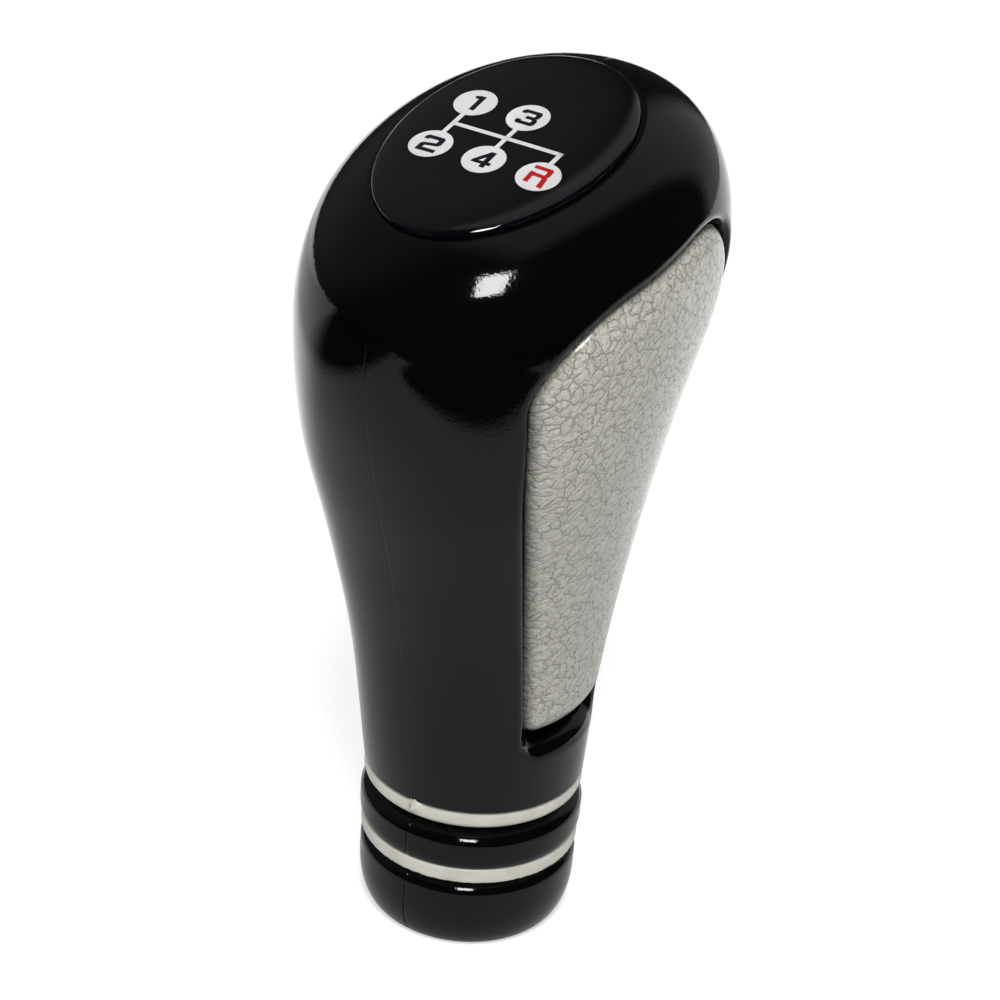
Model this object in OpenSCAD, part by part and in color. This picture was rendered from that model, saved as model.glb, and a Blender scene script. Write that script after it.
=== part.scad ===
// Gear shift knob: two moulded halves, set-in leather side panels, two neck rings
// and a domed shift pattern badge.
// Millimetres. The origin is the middle of the base, on the lever axis.
// +Z runs up the lever, +Y points to the front of the car, away from the driver.

/* [Neck] */
// Radius of the base collar
collar_r = 13.6; // [13.3:0.1:14.2]
// Height of the base collar
collar_h = 10.4; // [9:0.1:13]
// How far the collar draws in at its foot
foot_draw = 2.7; // [1:0.1:3.5]
// Height over which the collar draws in
foot_draw_h = 6.3; // [3:0.1:7]
// How far the collar's shoulder would draw in if the groove didn't cut it
collar_shoulder = 4.5; // [2:0.1:6]
// Height of the collar's shoulder
collar_shoulder_h = 2; // [1:0.1:2.4]
// Radius of the bead between the two rings
bead_r = 13.9; // [13.6:0.1:14.4]
// Height of the bead
bead_h = 5.9; // [4:0.1:8]
// How far the bead draws in at its foot
bead_draw = 0.5; // [0.2:0.1:1]
// Height over which the bead draws in
bead_draw_h = 1.5; // [0.5:0.1:2]
// How far the bead's shoulder would draw in if the groove didn't cut it
bead_shoulder = 8; // [4:0.1:10]
// Height of the bead's shoulder
bead_shoulder_h = 2.6; // [1:0.1:3]
// Depth of the grooves that hold the rings
groove_depth = 1.6; // [1.2:0.1:2]

/* [Rings] */
// Height of the lower ring
lower_ring_h = 2.1; // [1.6:0.1:3]
// Height of the upper ring
upper_ring_h = 2.4; // [1.8:0.1:3]
// How far the rings stand out of their grooves, past the collar
ring_proud = 0.05; // [0:0.05:0.3]
// Round of the lower ring's outer edges
lower_ring_edge_r = 0.4; // [0.2:0.05:0.7]
// Round of the upper ring's outer edges
upper_ring_edge_r = 0.9; // [0.3:0.05:1]

/* [Body] */
// Radius of the body's lower edge
neck_r = 13.7; // [13.2:0.1:14]
// Half width a fifth of the way up the spine
low_half_w = 15; // [14.5:0.1:15.5]
// Rear reach a fifth of the way up
low_rear = 17.1; // [16.5:0.1:18]
// Front reach a fifth of the way up
low_front = 14.5; // [14:0.1:15.5]
// Half width at the grip
grip_half_w = 17.7; // [17:0.1:18.5]
// Rear reach at the grip
grip_rear = 21.6; // [20.5:0.1:23]
// Front reach at the grip
grip_front = 15.2; // [14.5:0.1:16.5]
// Half width at the swell under the head
swell_half_w = 20.8; // [20:0.1:21.5]
// Rear reach at the swell
swell_rear = 26.2; // [25:0.1:27.5]
// Front reach at the swell
swell_front = 18.6; // [17.5:0.1:20]
// Half width of the head at its widest
head_half_w = 22.5; // [22:0.1:24]
// Rear reach of the head
head_rear = 28.7; // [28:0.1:30]
// Front reach of the head
head_front = 28.7; // [28:0.1:30]
// How squarely the shoulder turns in to the badge, 2 is an ellipse
shoulder = 2.9; // [2.4:0.1:3.4]
// Extra squareness of the sections half way up, 0 is an ellipse
squareness = 0.25; // [0:0.05:0.4]
// Wall thickness of the moulded halves
wall = 2.6; // [2.2:0.1:3]

/* [Badge] */
// Height of the badge's middle over the base
badge_z = 101.5; // [98:0.5:106]
// Place of the badge's middle behind the lever axis
badge_back = 3.2; // [1:0.1:5]
// Backward tilt of the badge in degrees
badge_tilt = 17.5; // [12:0.5:22]
// Half width of the badge
badge_half_w = 13.3; // [12.5:0.1:14.5]
// Half length of the badge
badge_half_l = 18.2; // [17:0.1:19.5]
// Share by which the badge is wider at its front
badge_egg = 0.04; // [0:0.01:0.08]
// Flat lip of the body round the badge
badge_lip = 0.5; // [0.4:0.05:0.9]
// Depth of the badge's seat
seat_depth = 1.1; // [0.9:0.1:1.4]
// Thickness of the badge plate
badge_plate_t = 0.8; // [0.6:0.05:0.8]
// Height of the clear cover's side
cover_side_h = 0.6; // [0.4:0.1:1]
// Rise of the clear cover's crown over its side
cover_rise = 1.2; // [0.6:0.1:2]

/* [Shift pattern] */
// Radius of the round fields
field_r = 2.5; // [2.2:0.1:3]
// Distance between the pattern's columns
column_pitch = 7.1; // [6.6:0.1:7.6]
// Distance between the pattern's two rows
row_pitch = 8.8; // [8:0.1:9.6]
// Width of the lines
line_w = 0.55; // [0.4:0.05:0.8]
// Place of the middle column beside the badge's middle
pattern_x = -0.1; // [-1:0.1:0.6]
// Place of the pattern in front of the badge's middle
pattern_y = 0.4; // [-0.5:0.1:1.5]

/* [Side panels] */
// Depth of the recess
recess_depth = 2.8; // [2.4:0.1:3]
// Foot of the recess over the body's lower edge, along the spine
recess_foot = 7.7; // [7:0.1:9]
// Top of the recess under the badge's lip, along the spine
recess_top = 8.6; // [8:0.1:10]
// Width of the black rail behind the panel, at the body's lower edge
rail_foot = 7.4; // [6.5:0.1:8]
// Width of the rail a fifth of the way up
rail_low = 6.8; // [6:0.1:7.5]
// Width of the rail at the grip
rail_grip = 6.2; // [5.5:0.1:7]
// Width of the rail at the swell
rail_swell = 6.3; // [5.5:0.1:7]
// Width of the rail at the head
rail_head = 7.8; // [7:0.1:8.5]
// Reach of the recess ahead of the spine, at its foot
recess_front_low = 7.6; // [6.8:0.1:8.2]
// Reach of the recess ahead of the spine, at its top
recess_front_high = 16.8; // [15.5:0.1:18]
// Round of the recess's lower corners
foot_corner_r = 2; // [1.8:0.1:4]
// Width of the recess's round upper corners
top_corner_w = 13; // [11:0.5:15]
// Height of the recess's round upper corners
top_corner_h = 10; // [8:0.5:13]
// Height of the sloping lip at the recess's foot
recess_lip = 1.9; // [1:0.1:2.5]
// Gap beside and over the panel
panel_gap = 0.4; // [0.3:0.05:0.6]
// Gap left open under the panel
panel_foot_gap = 1.8; // [1.2:0.1:2.2]
// How far the panel's middle stands out of the body
panel_proud = 0.1; // [0:0.05:0.6]
// Drop of the panel's padded edge
panel_edge_drop = 1; // [0.6:0.1:1.2]
// Width of the panel's padded edge
panel_edge_w = 2.4; // [1.6:0.1:3]
// Thickness of the stiff plate
plate_t = 1.2; // [1:0.1:1.4]
// Leather wrapped round the plate's edge
wrap_t = 0.9; // [0.7:0.1:1.2]
// Radius of the plate's snap pegs
peg_r = 1.7; // [1.4:0.1:2]
// Length of the snap pegs behind the plate
peg_len = 3; // [2.6:0.1:3.2]

/* [Lever insert] */
// Radius of the bore that takes the lever
lever_r = 6; // [5:0.1:6.3]
// Depth of the bore
lever_depth = 42; // [36:0.5:44]
// Outer radius of the insert
insert_r = 8.6; // [8.3:0.1:9]
// Length of the insert
insert_len = 46; // [45.5:0.5:48]
// Radius of the hexagonal collar that stops the insert turning
hex_r = 10.4; // [10:0.1:10.8]
// Height of the hexagonal collar
hex_h = 5; // [4:0.5:6]
// Height of the hexagonal collar over the base
hex_z = 24.5; // [23:0.5:26]
// Radius of the grub screws
grub_r = 2.5; // [2:0.1:2.6]
// Height of the grub screws over the base
grub_z = 5.2; // [4.6:0.1:6]
// Angle of each grub screw from the front
grub_angle = 45; // [35:1:50]

/* [Body screws] */
// Radius of the screw's shank
shank_r = 1.3; // [1.2:0.05:1.5]
// Length of the screw under its head
screw_len = 16; // [14:0.5:18]
// Radius of the screw's head
head_r = 2.7; // [2.5:0.1:3]
// Height of the screw's head
head_h = 1.8; // [1.4:0.1:2.2]
// Place of the head's seat beside the parting plane
screw_seat = 7; // [6:0.5:8]
// Plastic round the screw in a boss
boss_wall = 1.6; // [1.4:0.1:2]

/* [Hidden] */

$fn = 72;
// Play between pieces that sit in each other
fit = 0.05;
// Overshoot of the cuts
over = 1;
// Steps along the spine under the head, steps over the shoulder and steps half way round
low_steps = 14;
cap_steps = 8;
side_steps = 24;
badge_steps = 48;
// Steps round one edge of a band of the neck
edge_steps = 9;

groove_r = collar_r - groove_depth;
lower_ring_z = collar_h;
bead_z = lower_ring_z + lower_ring_h;
upper_ring_z = bead_z + bead_h;
body_z = upper_ring_z + upper_ring_h;

// Spine share of the head's widest section, with the low, grip and swell ones at equal steps
head_t = 0.8;
station_t = head_t / 4;
// Spine share over which the badge's egg shape fades in
egg_t = 0.6;
// Pull of the spine's two ends, as shares of its rise
foot_pull = 0.4;
badge_pull = 0.33;
badge_at = [-badge_back, badge_z];
badge_up = [-sin(badge_tilt), cos(badge_tilt)];
spine_rise = badge_z - body_z;
rim_half_w = badge_half_w + badge_lip;
rim_half_l = badge_half_l + badge_lip;
half_ws = [neck_r, low_half_w, grip_half_w, swell_half_w, head_half_w];
rears = [neck_r, low_rear, grip_rear, swell_rear, head_rear];
fronts = [neck_r, low_front, grip_front, swell_front, head_front];
rails = [rail_foot, rail_low, rail_grip, rail_swell, rail_head];

function ease(u) = let (k = min(max(u, 0), 1)) k * k * (3 - 2 * k);
function mix(a, b, u) = a + (b - a) * u;
function signed_pow(v, e) = sign(v) * pow(abs(v), e);

// The spine rises straight from the neck and meets the badge square on, as [y, z]
function spine(t) =
    let (
        a = [0, body_z],
        b = a + [0, foot_pull * spine_rise],
        c = badge_at - badge_pull * spine_rise * badge_up
    )
    pow(1 - t, 3) * a + 3 * pow(1 - t, 2) * t * b + 3 * (1 - t) * t * t * c + pow(t, 3) * badge_at;
function tilt(t) = badge_tilt * ease((t - 0.05) / 0.9);
spine_len = norm(spine(0.5) - spine(0)) + norm(spine(1) - spine(0.5));

// A smooth curve through the five stations of one reach, flat at the head
function station_slope(row, i) = i == 0 ? row[1] - row[0] : i == 4 ? 0 : (row[i + 1] - row[i - 1]) / 2;
function below_head(row, t) =
    let (
        i = min(floor(t / station_t), 3),
        u = t / station_t - i
    )
    mix(row[i], row[i + 1], ease(u)) + station_slope(row, i) * u * pow(1 - u, 2)
        - station_slope(row, i + 1) * u * u * (1 - u);
// The shoulder turns in from the head to the rim
function reach(row, rim, t) =
    let (
        u = (t - head_t) / (1 - head_t),
        k = pow(rim / row[4], shoulder)
    )
    t <= head_t ? below_head(row, t) : row[4] * pow(1 - (1 - k) * pow(min(u, 1), shoulder), 1 / shoulder);

// A point of a section in its own plane, as [x, y], by its angle from the front
function section(t, angle) =
    let (
        half_w = reach(half_ws, rim_half_w, t),
        rear = reach(rears, rim_half_l, t),
        front = reach(fronts, rim_half_l, t),
        e = 2 / (2 + squareness * sin(180 * t)),
        w = signed_pow(cos(angle), e),
        egg = badge_egg * ease((t - egg_t) / (1 - egg_t))
    )
    [half_w * signed_pow(sin(angle), e) * (1 + egg * w), (front - rear) / 2 + (front + rear) / 2 * w];
function on_spine(t, x, y) = let (p = spine(t), a = tilt(t)) [x, p[0] + y * cos(a), p[1] + y * sin(a)];
function body_point(t, angle) = let (q = section(t, angle)) on_spine(t, q[0], q[1]);
// The same point moved in along the surface's normal
function skin(t, angle, inset) =
    let (
        up = body_point(min(t + 0.002, 1), angle) - body_point(max(t - 0.002, 0), angle),
        round = body_point(t, angle + 1) - body_point(t, angle - 1),
        n = cross(up, round)
    )
    body_point(t, angle) - inset * n / norm(n);
// The angle from the front at which a section is y ahead of the spine
function angle_at(t, y) =
    let (
        rear = reach(rears, rim_half_l, t),
        front = reach(fronts, rim_half_l, t),
        w = (2 * y - front + rear) / (front + rear)
    )
    acos(signed_pow(min(max(w, -1), 1), 1 + squareness * sin(180 * t) / 2));
function skin_at(s, y, inset) = let (t = s / spine_len) skin(t, angle_at(t, y), inset);

// The panel's outline, as heights along the spine and distances ahead of the spine
panel_foot = recess_foot;
panel_top = spine_len - recess_top;
// How late up the body the front edge swings forward, 1 is a straight edge
front_sweep = 1.8;
function corner_pull(u, w) = w * (1 - sqrt(max(1 - pow(1 - min(max(u, 0), 1), 2), 0)));
function edge_pull(s, foot, top, margin) =
    corner_pull((s - foot) / (foot_corner_r - margin), foot_corner_r - margin)
        + corner_pull((top - s) / (top_corner_h - margin), top_corner_w - margin);
function rear_edge(s, foot, top, margin) =
    let (t = s / spine_len)
    below_head(rails, min(t, head_t)) + margin - reach(rears, rim_half_l, t) + edge_pull(s, foot, top, margin);
function front_edge(s, foot, top, margin) =
    mix(recess_front_low, recess_front_high, pow(max(s, 0) / panel_top, front_sweep))
        - margin - edge_pull(s, foot, top, margin);

// Width over which the wall steps in behind the panel
hollow_step = 5;
// Depth of the half body's hollow at one place, deeper behind the panel
function hollow_inset(t, angle) =
    let (
        s = t * spine_len,
        y = section(t, angle)[1],
        inside = min(s - panel_foot, panel_top - s, y - rear_edge(s, panel_foot, panel_top, 0),
            front_edge(s, panel_foot, panel_top, 0) - y)
    )
    wall + recess_depth * ease(inside / hollow_step + 1);

// A solid half body between the spine shares given, closed on the parting plane.
// The depth under the surface is a number, or undef for the moulding's hollow.
module half_loft(shares, steps, depth) {
    row = steps + 1;
    last = row * (len(shares) - 1);
    points = [for (t = shares, j = [0:steps])
        let (
            angle = 180 * j / steps,
            p = skin(t, angle, is_undef(depth) ? hollow_inset(t, angle) : depth)
        )
        [j == 0 || j == steps ? 0 : p[0], p[1], p[2]]];
    sides = [for (a = [0:row:last - 1], j = [0:steps - 1])
        let (b = a + j)
        each [[b, b + 1, b + row], [b + 1, b + row + 1, b + row]]];
    ends = [for (j = [1:steps - 1]) each [[0, j + 1, j], [last, last + j, last + j + 1]]];
    parting = [for (a = [0:row:last - 1])
        each [[a, a + row, a + steps], [a + steps, a + row, a + row + steps]]];
    polyhedron(points, concat(sides, ends, parting));
}

body_shares = concat([for (i = [0:low_steps]) head_t * i / low_steps],
    [for (i = [1:cap_steps]) head_t + (1 - head_t) * sin(90 * i / cap_steps)]);
hollow_low = 0.17;
hollow_high = 1 - (seat_depth + wall) / spine_len;
hollow_steps = 12;
hollow_side_steps = 14;
hollow_shares = [for (i = [0:hollow_steps]) mix(hollow_low, hollow_high, sin(90 * i / hollow_steps))];

// Steps across and up a side panel, closer at its edges
across = [0, 0.025, 0.07, 0.15, 0.32, 0.5, 0.68, 0.85, 0.93, 0.975, 1];
upward = [0, 0.008, 0.022, 0.045, 0.1, 0.18, 0.27, 0.36, 0.45, 0.54, 0.62, 0.7, 0.77, 0.83, 0.88, 0.92, 0.95,
    0.975, 0.99, 1];
columns = len(across);
rows = len(upward);
panel_rim = concat([for (j = [0:columns - 1]) [0, j]], [for (i = [1:rows - 1]) [i, columns - 1]],
    [for (j = [columns - 2:-1:0]) [rows - 1, j]], [for (i = [rows - 2:-1:1]) [i, 0]]);

// One point of a panel layer. margin and foot_margin shrink the outline, inset is the depth
// under the body's surface, and drop lowers the edge in a round.
function panel_point(i, j, margin, foot_margin, inset, drop) =
    let (
        foot = panel_foot + foot_margin,
        top = panel_top - margin,
        s = mix(foot, top, upward[i]),
        rear = rear_edge(s, foot, top, margin),
        front = front_edge(s, foot, top, margin),
        y = mix(rear, front, across[j]),
        edge = min(s - foot, top - s, y - rear, front - y)
    )
    skin_at(s, y, inset + corner_pull(edge / panel_edge_w, drop));
function panel_layer(margin, foot_margin, inset, drop = 0) =
    [for (i = [0:rows - 1], j = [0:columns - 1]) panel_point(i, j, margin, foot_margin, inset, drop)];
function panel_loop(margin, foot_margin, inset) =
    [for (k = panel_rim) panel_point(k[0], k[1], margin, foot_margin, inset, 0)];
function layer_faces(start, flip) = [for (i = [0:rows - 2], j = [0:columns - 2])
    let (
        a = start + i * columns + j,
        b = a + 1,
        c = a + columns,
        d = c + 1
    )
    each flip ? [[a, b, c], [b, d, c]] : [[a, c, b], [b, c, d]]];
function band_faces(low, high) = [for (k = [0:len(low) - 1])
    let (n = (k + 1) % len(low))
    each [[low[k], low[n], high[k]], [low[n], high[n], high[k]]]];
function rim_indices(start) = [for (k = panel_rim) start + k[0] * columns + k[1]];
function loop_indices(start) = [for (k = [0:len(panel_rim) - 1]) start + k];

// A plate that follows the body, between two depths under its surface. lip lowers the foot
// of its outer face.
module panel_slab(margin, foot_margin, deep, shallow, lip = 0) {
    size = rows * columns;
    polyhedron(
        concat(panel_layer(margin, foot_margin - lip, shallow), panel_layer(margin, foot_margin, deep)),
        concat(layer_faces(0, false), layer_faces(size, true), band_faces(rim_indices(0), rim_indices(size)))
    );
}

// Leather over the plate's face and round its edge, open at the back
module panel_wrap(margin, foot_margin, wrap, deep, plate_face, face) {
    size = rows * columns;
    rim = len(panel_rim);
    outer_loop = 2 * size;
    inner_loop = outer_loop + rim;
    polyhedron(
        concat(panel_layer(margin, foot_margin, face, panel_edge_drop),
            panel_layer(margin + wrap, foot_margin + wrap, plate_face),
            panel_loop(margin, foot_margin, deep),
            panel_loop(margin + wrap, foot_margin + wrap, deep)),
        concat(layer_faces(0, false), layer_faces(size, true),
            band_faces(rim_indices(0), loop_indices(outer_loop)),
            band_faces(loop_indices(outer_loop), loop_indices(inner_loop)),
            band_faces(loop_indices(inner_loop), rim_indices(size)))
    );
}

// Places by the spine, as [height along it, distance ahead of it]
low_screw_at = [38, -3];
rear_screw_at = [61, -11.5];
front_screw_at = [62, 7];
peg_places = [[25, 0], [50, -10], [45, 2], [67, -3]];
peg_clear = 0.1;
screw_places = [low_screw_at, rear_screw_at, front_screw_at];
pilot_r = shank_r + fit;
screw_clear = 0.3;
clear_r = shank_r + screw_clear;
well_r = head_r + screw_clear;
// The left half's spigots, which sit in sockets of the right half and line the halves up
spigot_wall = 1.1;
spigot_r = clear_r + spigot_wall;
spigot_h = 1.4;
thread_depth = screw_len - screw_seat + over;

module at_side(place) {
    p = on_spine(place[0] / spine_len, 0, place[1]);
    translate(p)
        rotate([0, 90, 0])
            children();
}

module at_badge() {
    translate([0, badge_at[0], badge_at[1]])
        rotate([badge_tilt, 0, 0])
            children();
}

function badge_outline(grow) = [for (i = [0:badge_steps - 1])
    let (a = 360 * i / badge_steps)
    [(badge_half_w + grow) * sin(a) * (1 + badge_egg * cos(a)), (badge_half_l + grow) * cos(a)]];

// A band of the neck in section. low and high say how far, and over what height, it draws in
// at its lower and upper edge.
function band_edge(r, z, draw, start) = [for (k = [0:edge_steps])
    let (a = start + 90 * k / edge_steps)
    [r - draw[0] + draw[0] * cos(a), z + draw[1] * sin(a)]];
module band(r, h, low, high) {
    polygon(concat([[0, 0]], band_edge(r, low[1], low, -90), band_edge(r, h - high[1], high, 0), [[0, h]]));
}

module neck_section() {
    square([groove_r, body_z + over]);
    band(collar_r, collar_h, [foot_draw, foot_draw_h], [collar_shoulder, collar_shoulder_h]);
    translate([0, bead_z])
        band(bead_r, bead_h, [bead_draw, bead_draw_h], [bead_shoulder, bead_shoulder_h]);
}

module at_grub(side) {
    rotate([0, 0, -side * grub_angle])
        translate([0, 0, grub_z])
            rotate([-90, 0, 0])
                children();
}

// Room in the halves for the lever insert
module insert_room() {
    translate([0, 0, -over])
        cylinder(r = insert_r + fit, h = insert_len + over + fit);
    translate([0, 0, hex_z - fit])
        cylinder(r = hex_r + fit, h = hex_h + 2 * fit, $fn = 6);
}

// The cross rib that closes the hollow's foot over the lever
rib_z = 42;
rib_t = 2;

// One half with all that both halves share. It lies on the +X side.
module half_body(boss_r) {
    difference() {
        union() {
            half_loft(body_shares, side_steps, 0);
            rotate([0, 0, -90])
                rotate_extrude(angle = 180)
                    neck_section();
        }
        difference() {
            half_loft(hollow_shares, hollow_side_steps, undef);
            for (place = screw_places)
                at_side(place)
                    cylinder(r = boss_r, h = head_half_w);
            translate([-over, -head_rear, rib_z])
                cube([head_half_w, 2 * head_rear, rib_t]);
        }
        panel_slab(0, 0, recess_depth, -recess_depth, 2 * recess_lip);
        for (place = peg_places)
            at_side(place)
                cylinder(r = peg_r + peg_clear, h = head_half_w, $fn = 32);
        insert_room();
        at_badge()
            translate([0, 0, -seat_depth])
                linear_extrude(seat_depth + over)
                    polygon(badge_outline(0));
    }
}

module right_shell() {
    color("#121214")
        difference() {
            half_body(well_r + boss_wall);
            for (place = screw_places)
                at_side(place) {
                    translate([0, 0, -over])
                        cylinder(r = clear_r, h = head_half_w, $fn = 32);
                    translate([0, 0, -over])
                        cylinder(r = spigot_r + fit, h = spigot_h + over + fit, $fn = 32);
                    translate([0, 0, screw_seat])
                        cylinder(r = well_r, h = head_half_w, $fn = 32);
                }
            at_grub(1)
                cylinder(r = grub_r + fit, h = collar_r + over, $fn = 32);
        }
}

module left_shell() {
    color("#121214")
        difference() {
            union() {
                mirror([1, 0, 0])
                    half_body(spigot_r + boss_wall);
                for (place = screw_places)
                    at_side(place)
                        translate([0, 0, -over])
                            cylinder(r = spigot_r, h = spigot_h + over, $fn = 32);
            }
            for (place = screw_places)
                at_side(place)
                    translate([0, 0, -thread_depth])
                        cylinder(r = pilot_r, h = thread_depth + spigot_h + over, $fn = 32);
            at_grub(-1)
                cylinder(r = grub_r + fit, h = collar_r + over, $fn = 32);
        }
}

module ring(h, edge_r) {
    rotate_extrude()
        intersection() {
            band(collar_r + ring_proud, h, [edge_r, edge_r], [edge_r, edge_r]);
            translate([groove_r + fit, 0])
                square([groove_depth + ring_proud, h]);
        }
}

module lower_ring() {
    color("#cdc8bc")
        translate([0, 0, lower_ring_z])
            ring(lower_ring_h, lower_ring_edge_r);
}

module upper_ring() {
    color("#cdc8bc")
        translate([0, 0, upper_ring_z])
            ring(upper_ring_h, upper_ring_edge_r);
}

print_t = 0.1;
badge_clear = 0.1;

module badge_plate() {
    color("#0b0a0d")
        at_badge()
            translate([0, 0, -seat_depth])
                linear_extrude(badge_plate_t)
                    polygon(badge_outline(-badge_clear));
}

// A field of the pattern's print, by its column and its row
function field_at(column, row) = [pattern_x + column * column_pitch, pattern_y + row * row_pitch / 2];

module print_line(a, b) {
    translate([min(a[0], b[0]) - line_w / 2, min(a[1], b[1]) - line_w / 2, 0])
        cube([abs(a[0] - b[0]) + line_w, abs(a[1] - b[1]) + line_w, print_t]);
}

module shift_pattern() {
    color("white")
        at_badge()
            translate([0, 0, badge_plate_t - seat_depth]) {
                for (field = [[-1, 1], [-1, -1], [0, 1], [0, -1], [1, -1]])
                    translate(field_at(field[0], field[1]))
                        cylinder(r = field_r, h = print_t);
                print_line(field_at(-1, 1), field_at(-1, -1));
                print_line(field_at(0, 1), field_at(0, -1));
                print_line(field_at(-1, 0), field_at(1, 0));
                print_line(field_at(1, 0), field_at(1, -1));
            }
}

// The crown of the clear cover, flat in its middle and round at its edge
module crown(rise, steps) {
    rings = [for (k = [0:steps - 1]) sin(90 * (steps - k) / steps)];
    rim = badge_outline(-badge_clear);
    n = badge_steps;
    points = concat([for (p = rim) [p[0], p[1], -cover_side_h]],
        [for (k = [0:steps - 1], p = rim)
            [p[0] * rings[k], p[1] * rings[k], rise * sqrt(1 - pow(rings[k], 4))]],
        [[0, 0, rise]]);
    polyhedron(points, concat(
        [[for (j = [n - 1:-1:0]) j]],
        [for (k = [0:steps - 1], j = [0:n - 1])
            let (
                a = k * n + j,
                b = k * n + (j + 1) % n
            )
            each [[a, b, a + n], [b, b + n, a + n]]],
        [for (j = [0:n - 1]) [steps * n + j, steps * n + (j + 1) % n, (steps + 1) * n]]
    ));
}

module badge_cover() {
    color([0.9, 0.9, 0.95, 0.4])
        at_badge()
            translate([0, 0, badge_plate_t - seat_depth + print_t + cover_side_h])
                crown(cover_rise, 6);
}

floor_gap = 0.1;
plate_back = recess_depth - floor_gap;
plate_face = plate_back - plate_t;

module panel_plate() {
    margin = panel_gap + wrap_t + fit;
    color("#2b2b2e") {
        panel_slab(margin, panel_foot_gap + wrap_t + fit, plate_back, plate_face);
        for (place = peg_places)
            at_side(place) {
                seat = skin_at(place[0], place[1], plate_back)[0];
                translate([0, 0, seat - peg_len])
                    cylinder(r = peg_r, h = peg_len + plate_t / 4, $fn = 32);
            }
    }
}

module panel_skin() {
    color("#a5a29a")
        panel_wrap(panel_gap, panel_foot_gap, wrap_t, plate_back, plate_face - fit, -panel_proud);
}

module right_panel_plate() {
    panel_plate();
}

module left_panel_plate() {
    mirror([1, 0, 0])
        panel_plate();
}

module right_panel_skin() {
    panel_skin();
}

module left_panel_skin() {
    mirror([1, 0, 0])
        panel_skin();
}

module lever_insert() {
    color("silver")
        difference() {
            union() {
                cylinder(r = insert_r, h = insert_len);
                translate([0, 0, hex_z])
                    cylinder(r = hex_r, h = hex_h, $fn = 6);
            }
            translate([0, 0, -over])
                cylinder(r = lever_r, h = lever_depth + over);
            for (side = [-1, 1])
                at_grub(side)
                    cylinder(r = grub_r, h = insert_r + over, $fn = 32);
        }
}

grub_len = 6;
grub_gap = 0.2;
grub_tip = lever_r + grub_gap;
hex_socket_r = 1.45;
hex_socket_depth = 2.2;

module grub_screw(side) {
    color("#8f9196")
        at_grub(side)
            translate([0, 0, grub_tip])
                difference() {
                    cylinder(r = grub_r - fit, h = grub_len, $fn = 32);
                    translate([0, 0, grub_len - hex_socket_depth])
                        cylinder(r = hex_socket_r, h = hex_socket_depth + over, $fn = 6);
                }
}

module left_grub_screw() {
    grub_screw(-1);
}

module right_grub_screw() {
    grub_screw(1);
}

cross_w = 0.7;
cross_len = 1.2 * head_r;
cross_depth = 1.1;

module body_screw(place) {
    color("#8f9196")
        at_side(place)
            difference() {
                union() {
                    translate([0, 0, screw_seat - screw_len])
                        cylinder(r = shank_r, h = screw_len + head_h / 2, $fn = 32);
                    translate([0, 0, screw_seat])
                        cylinder(r = head_r, h = head_h, $fn = 48);
                }
                for (turn = [0, 90])
                    rotate([0, 0, turn])
                        translate([-cross_len / 2, -cross_w / 2, screw_seat + head_h - cross_depth])
                            cube([cross_len, cross_w, cross_depth + over]);
            }
}

module low_body_screw() {
    body_screw(low_screw_at);
}

module rear_body_screw() {
    body_screw(rear_screw_at);
}

module front_body_screw() {
    body_screw(front_screw_at);
}

left_shell();
right_shell();
lower_ring();
upper_ring();
badge_plate();
shift_pattern();
badge_cover();
left_panel_plate();
right_panel_plate();
left_panel_skin();
right_panel_skin();
lever_insert();
left_grub_screw();
right_grub_screw();
low_body_screw();
rear_body_screw();
front_body_screw();
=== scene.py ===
from functools import partial
import math

import bmesh
import bpy
import numpy as np
from mathutils import Matrix, Vector, noise


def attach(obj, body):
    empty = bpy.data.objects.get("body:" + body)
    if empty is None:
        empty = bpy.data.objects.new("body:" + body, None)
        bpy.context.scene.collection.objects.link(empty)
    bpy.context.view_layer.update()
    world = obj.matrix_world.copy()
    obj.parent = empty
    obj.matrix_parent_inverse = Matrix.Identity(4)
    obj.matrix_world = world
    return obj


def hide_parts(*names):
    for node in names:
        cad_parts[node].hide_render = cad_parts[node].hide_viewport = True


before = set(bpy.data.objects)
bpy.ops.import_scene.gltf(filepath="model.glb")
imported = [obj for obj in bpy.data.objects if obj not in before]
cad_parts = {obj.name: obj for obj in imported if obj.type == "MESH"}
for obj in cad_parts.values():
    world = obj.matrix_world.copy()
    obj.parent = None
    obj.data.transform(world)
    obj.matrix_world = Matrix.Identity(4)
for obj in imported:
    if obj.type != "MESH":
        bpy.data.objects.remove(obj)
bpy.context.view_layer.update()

millimetre = 0.001
for name in ("Cube", "Light", "Camera"):  # what a new Blender file starts with
    if name in bpy.data.objects:
        bpy.data.objects.remove(bpy.data.objects[name])

# the photo's camera
cameraView = {
    "azimuth": 32.19,  # degrees from straight behind, towards the right
    "elevation": 27.18,
    "roll": 4.51,
    "distance": 315.64,  # mm to the aim
    "aimSide": 0.749,
    "aimHeight": 56.35,
    "lens": 95.61,
}


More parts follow.
